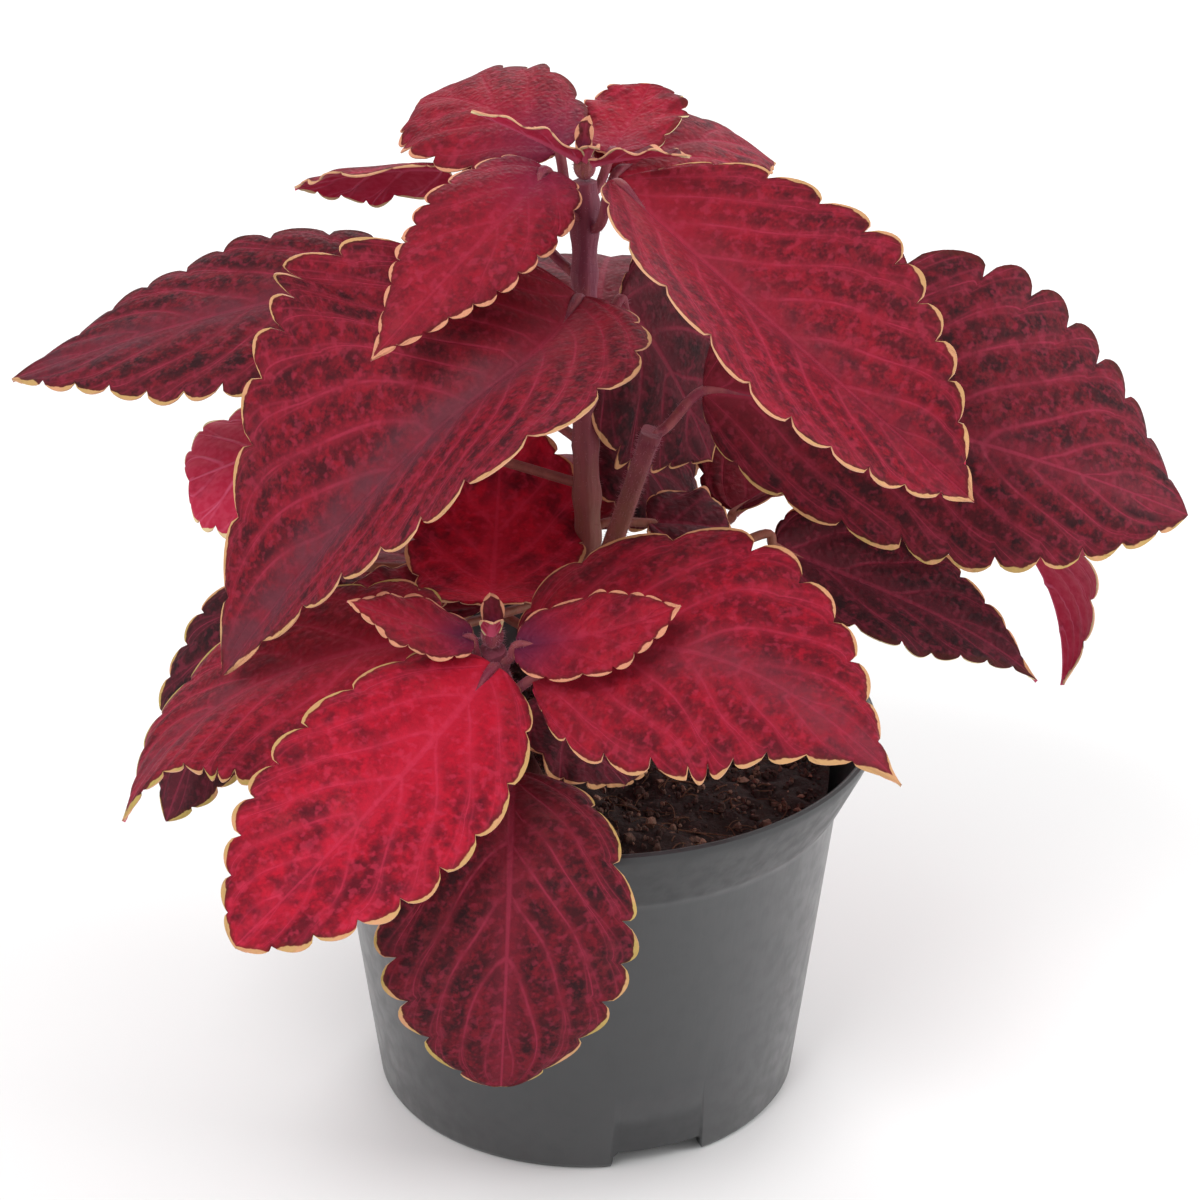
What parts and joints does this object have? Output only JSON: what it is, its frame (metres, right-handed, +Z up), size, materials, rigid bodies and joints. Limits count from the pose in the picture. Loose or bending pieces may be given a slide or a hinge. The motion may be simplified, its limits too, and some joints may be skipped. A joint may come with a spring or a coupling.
{
  "type": "potted coleus plant",
  "caption": "Bushy foliage plant with large scalloped crimson leaves on stalks, standing in soil in a tapered nursery pot with a flared collar.",
  "frame": {"origin": "on the pot's axis at the floor, which is within 1 mm of the middle of the whole plant's footprint", "axes": "+Z up along the pot's axis, +X along the plant's widest spread, towards the large leaf that reaches furthest out, -Y towards the side where the second, shorter stem leans over the pot's rim"},
  "size_m": [0.2334, 0.2008, 0.2154],
  "materials": {
    "pot": "satin moulded dark grey plastic",
    "soil": "dark crumbly peat with fibres",
    "stem": "purple to greenish tan stem with short hairs",
    "shoot": "young downy leaves, purple and pink",
    "leaf": "velvety crimson leaf, maroon mottling between pink veins, thin yellow green edge"
  },
  "bodies": {
    "root": {"pot": "pot", "soil": "soil", "stem_main": "stem", "stem_front": "stem", "shoot_tip_top": "shoot", "shoot_tip_front": "shoot", "leaf_upper_right": "leaf", "leaf_upper_left": "leaf", "leaf_top_back_left": "leaf", "leaf_top_back_right": "leaf", "leaf_upper_back_right": "leaf", "leaf_upper_back_left": "leaf", "leaf_middle_left": "leaf", "leaf_far_left": "leaf", "leaf_middle_back_right": "leaf", "leaf_far_right": "leaf", "leaf_low_right": "leaf", "leaf_side_left": "leaf", "leaf_low_back_left": "leaf", "leaf_inner_centre": "leaf", "leaf_inner_right": "leaf", "leaf_inner_left": "leaf", "leaf_back_upper": "leaf", "leaf_back_left": "leaf", "leaf_back_centre": "leaf", "leaf_back_low_left": "leaf", "leaf_back_low_right": "leaf", "leaf_front_shoot_back": "leaf", "leaf_front_shoot_left": "leaf", "leaf_front_shoot_right": "leaf", "leaf_front_left": "leaf", "leaf_front_right": "leaf", "leaf_low_left": "leaf", "leaf_front_hanging": "leaf", "leaf_front_under": "leaf"}
  },
  "joints": []
}
